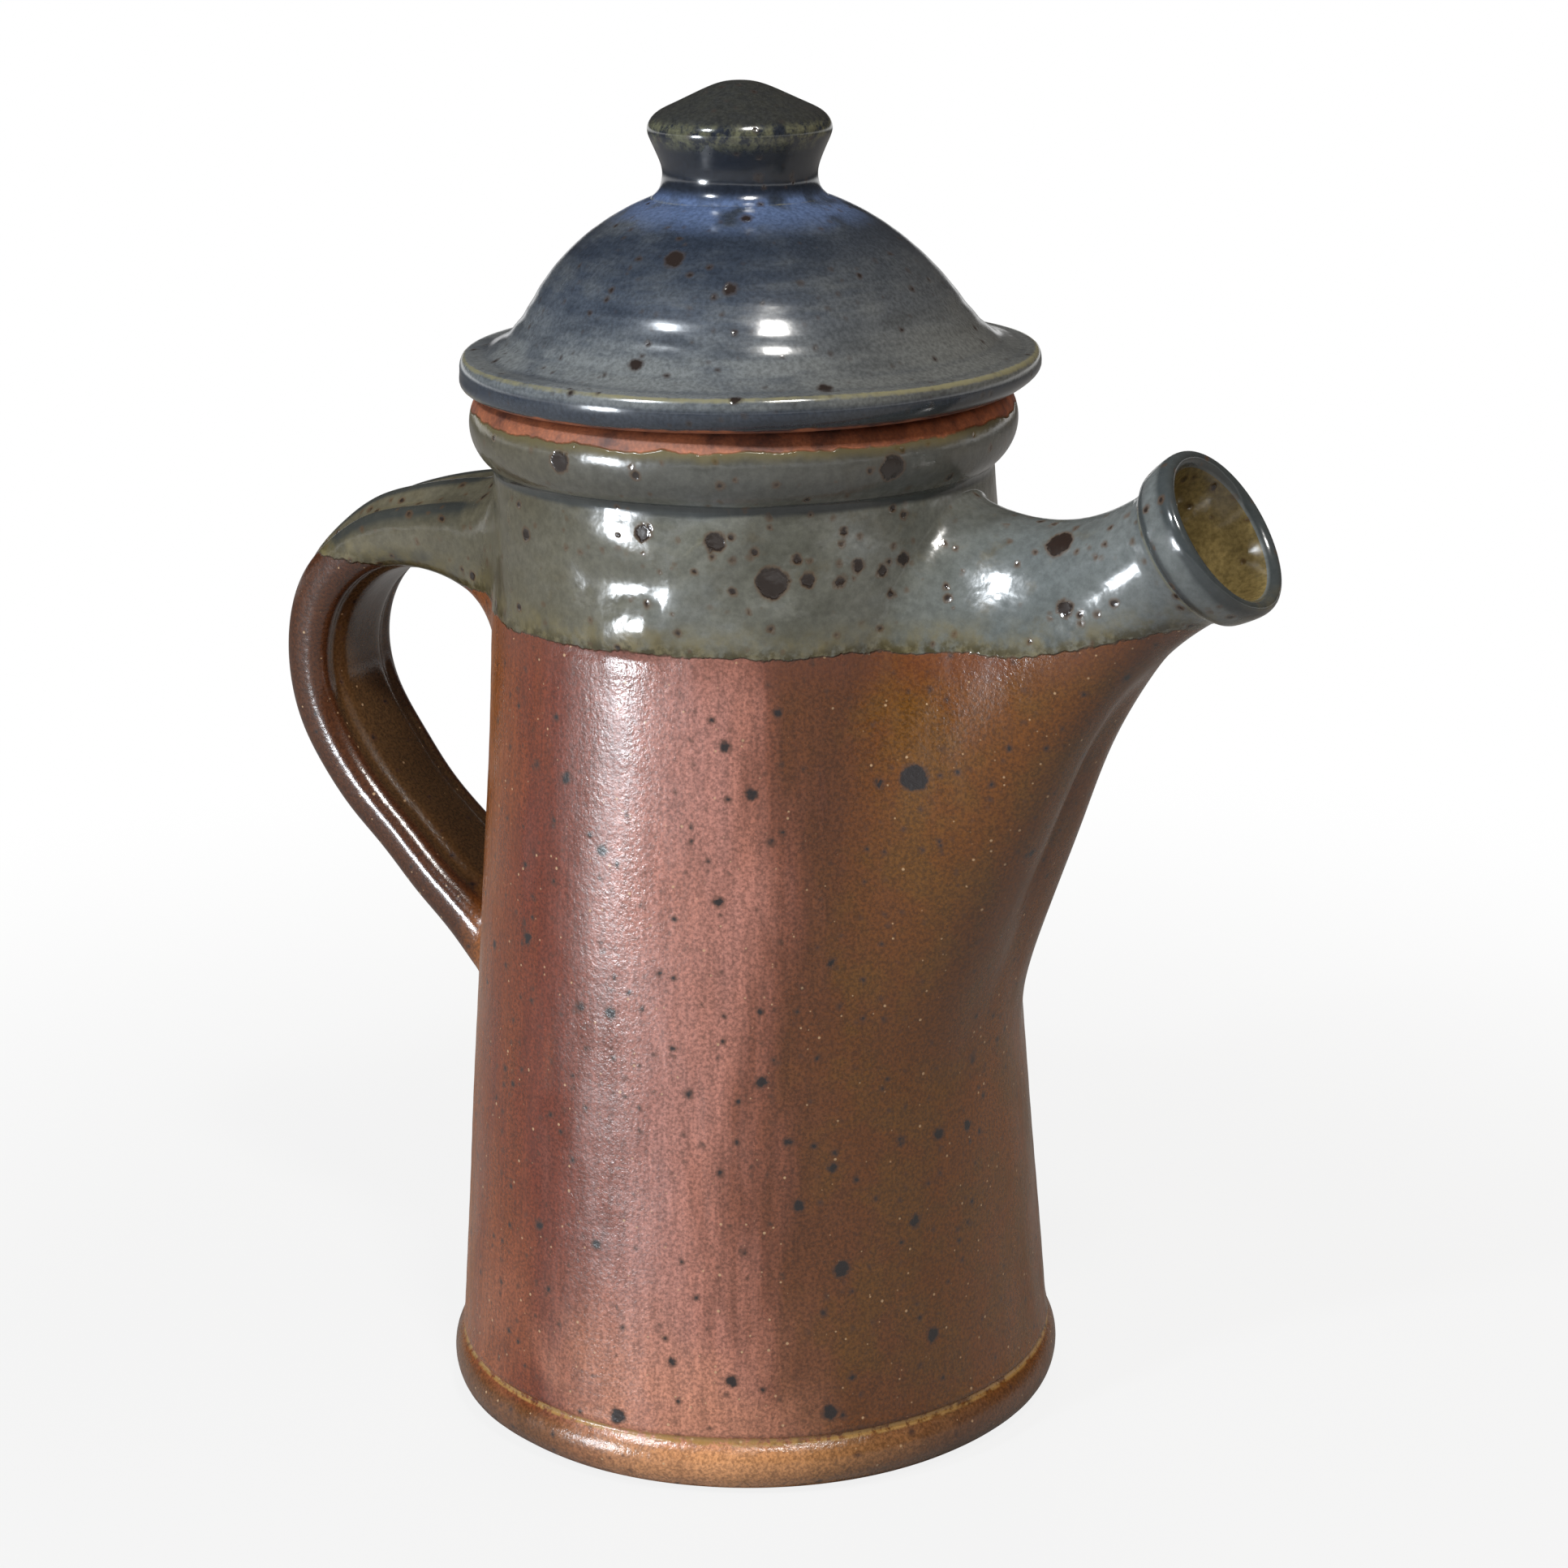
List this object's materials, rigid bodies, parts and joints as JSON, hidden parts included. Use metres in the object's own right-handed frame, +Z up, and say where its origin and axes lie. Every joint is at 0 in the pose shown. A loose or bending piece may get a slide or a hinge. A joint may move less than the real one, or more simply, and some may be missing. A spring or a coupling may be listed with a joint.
{
  "type": "coffee pot",
  "caption": "Hand-thrown stoneware coffee pot: tapered body with foot bead and rolled collar, flared spout, pulled strap handle and domed lift-off lid with a knob.",
  "frame": {"origin": "centre of the flat base, on the surface that the pot stands on", "axes": "+Z up along the axis that the pot was turned on, +X towards the spout, so the handle lies towards -X"},
  "size_m": [0.199, 0.114, 0.2399],
  "materials": {
    "two_tone_stoneware": "satin red-brown fired clay, dipped in a glossy grey-green ash glaze above a tilted line",
    "ash_glaze": "glossy blue-grey ash glaze with iron specks, bare clay on the seat"
  },
  "bodies": {
    "pot": {"pot_body": "two_tone_stoneware", "spout": "two_tone_stoneware", "handle": "two_tone_stoneware"},
    "lid": {"lid": "ash_glaze", "lid_knob": "ash_glaze"}
  },
  "joints": [
    {"name": "lid_lift", "type": "slide", "parent": "pot", "child": "lid", "axis": [0, 0, 1], "range_m": [0, 0.09]}
  ]
}
